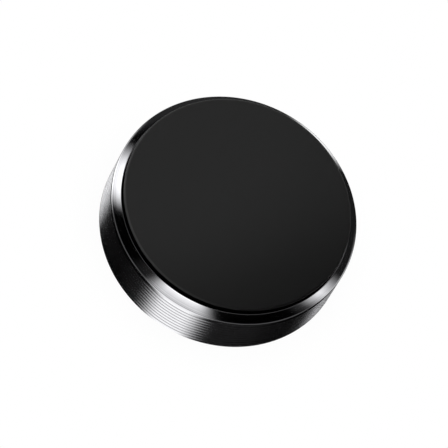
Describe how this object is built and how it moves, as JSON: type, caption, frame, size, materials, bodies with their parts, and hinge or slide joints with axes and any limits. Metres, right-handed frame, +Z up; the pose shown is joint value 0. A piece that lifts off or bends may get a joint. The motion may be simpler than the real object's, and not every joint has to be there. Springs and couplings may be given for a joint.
{
  "type": "security tag detacher",
  "caption": "Low round magnetic tag detacher puck: black metal wall with fine turned grip grooves, polished chamfer, soft flat contact pad on top, screwed base cover with a rubber foot.",
  "frame": {"origin": "centre of the rubber foot's underside, on the counter", "axes": "+Z up along the puck's axis, out of the contact pad; +X and +Y are equal across the round body, with one ring magnet on +X and the base screws at 45 degrees to the axes"},
  "size_m": [0.05, 0.05, 0.0138],
  "materials": {
    "black_anodised": "black anodised turned aluminium, glossy turned chamfer, wall with fine turned grip grooves",
    "silicone": "matte soft-touch black",
    "foot_rubber": "matte black, fine non-slip grooves",
    "film_tape": "translucent double-sided film",
    "black_nylon": "fine spark texture",
    "white_nylon": "natural moulded nylon",
    "nickel_plate": "bright nickel plate over sintered neodymium",
    "zinc_steel": "turned mild steel, clear zinc plated",
    "black_steel": "black oxide",
    "eva_foam": "closed-cell foam"
  },
  "bodies": {
    "root": {"grooved_housing": "black_anodised", "top_pad": "silicone", "top_pad_adhesive": "film_tape", "yoke_plate": "zinc_steel", "shield_ring": "zinc_steel", "magnet_carrier": "white_nylon", "core_magnet_lower": "nickel_plate", "core_magnet_upper": "nickel_plate", "ring_magnet_1": "nickel_plate", "ring_magnet_2": "nickel_plate", "ring_magnet_3": "nickel_plate", "ring_magnet_4": "nickel_plate", "ring_magnet_5": "nickel_plate", "ring_magnet_6": "nickel_plate", "ring_magnet_7": "nickel_plate", "ring_magnet_8": "nickel_plate", "foam_shim": "eva_foam", "base_cover": "black_nylon", "cover_screw_1": "black_steel", "cover_screw_2": "black_steel", "cover_screw_3": "black_steel", "cover_screw_4": "black_steel", "foot_pad": "foot_rubber", "foot_pad_adhesive": "film_tape"}
  },
  "joints": []
}
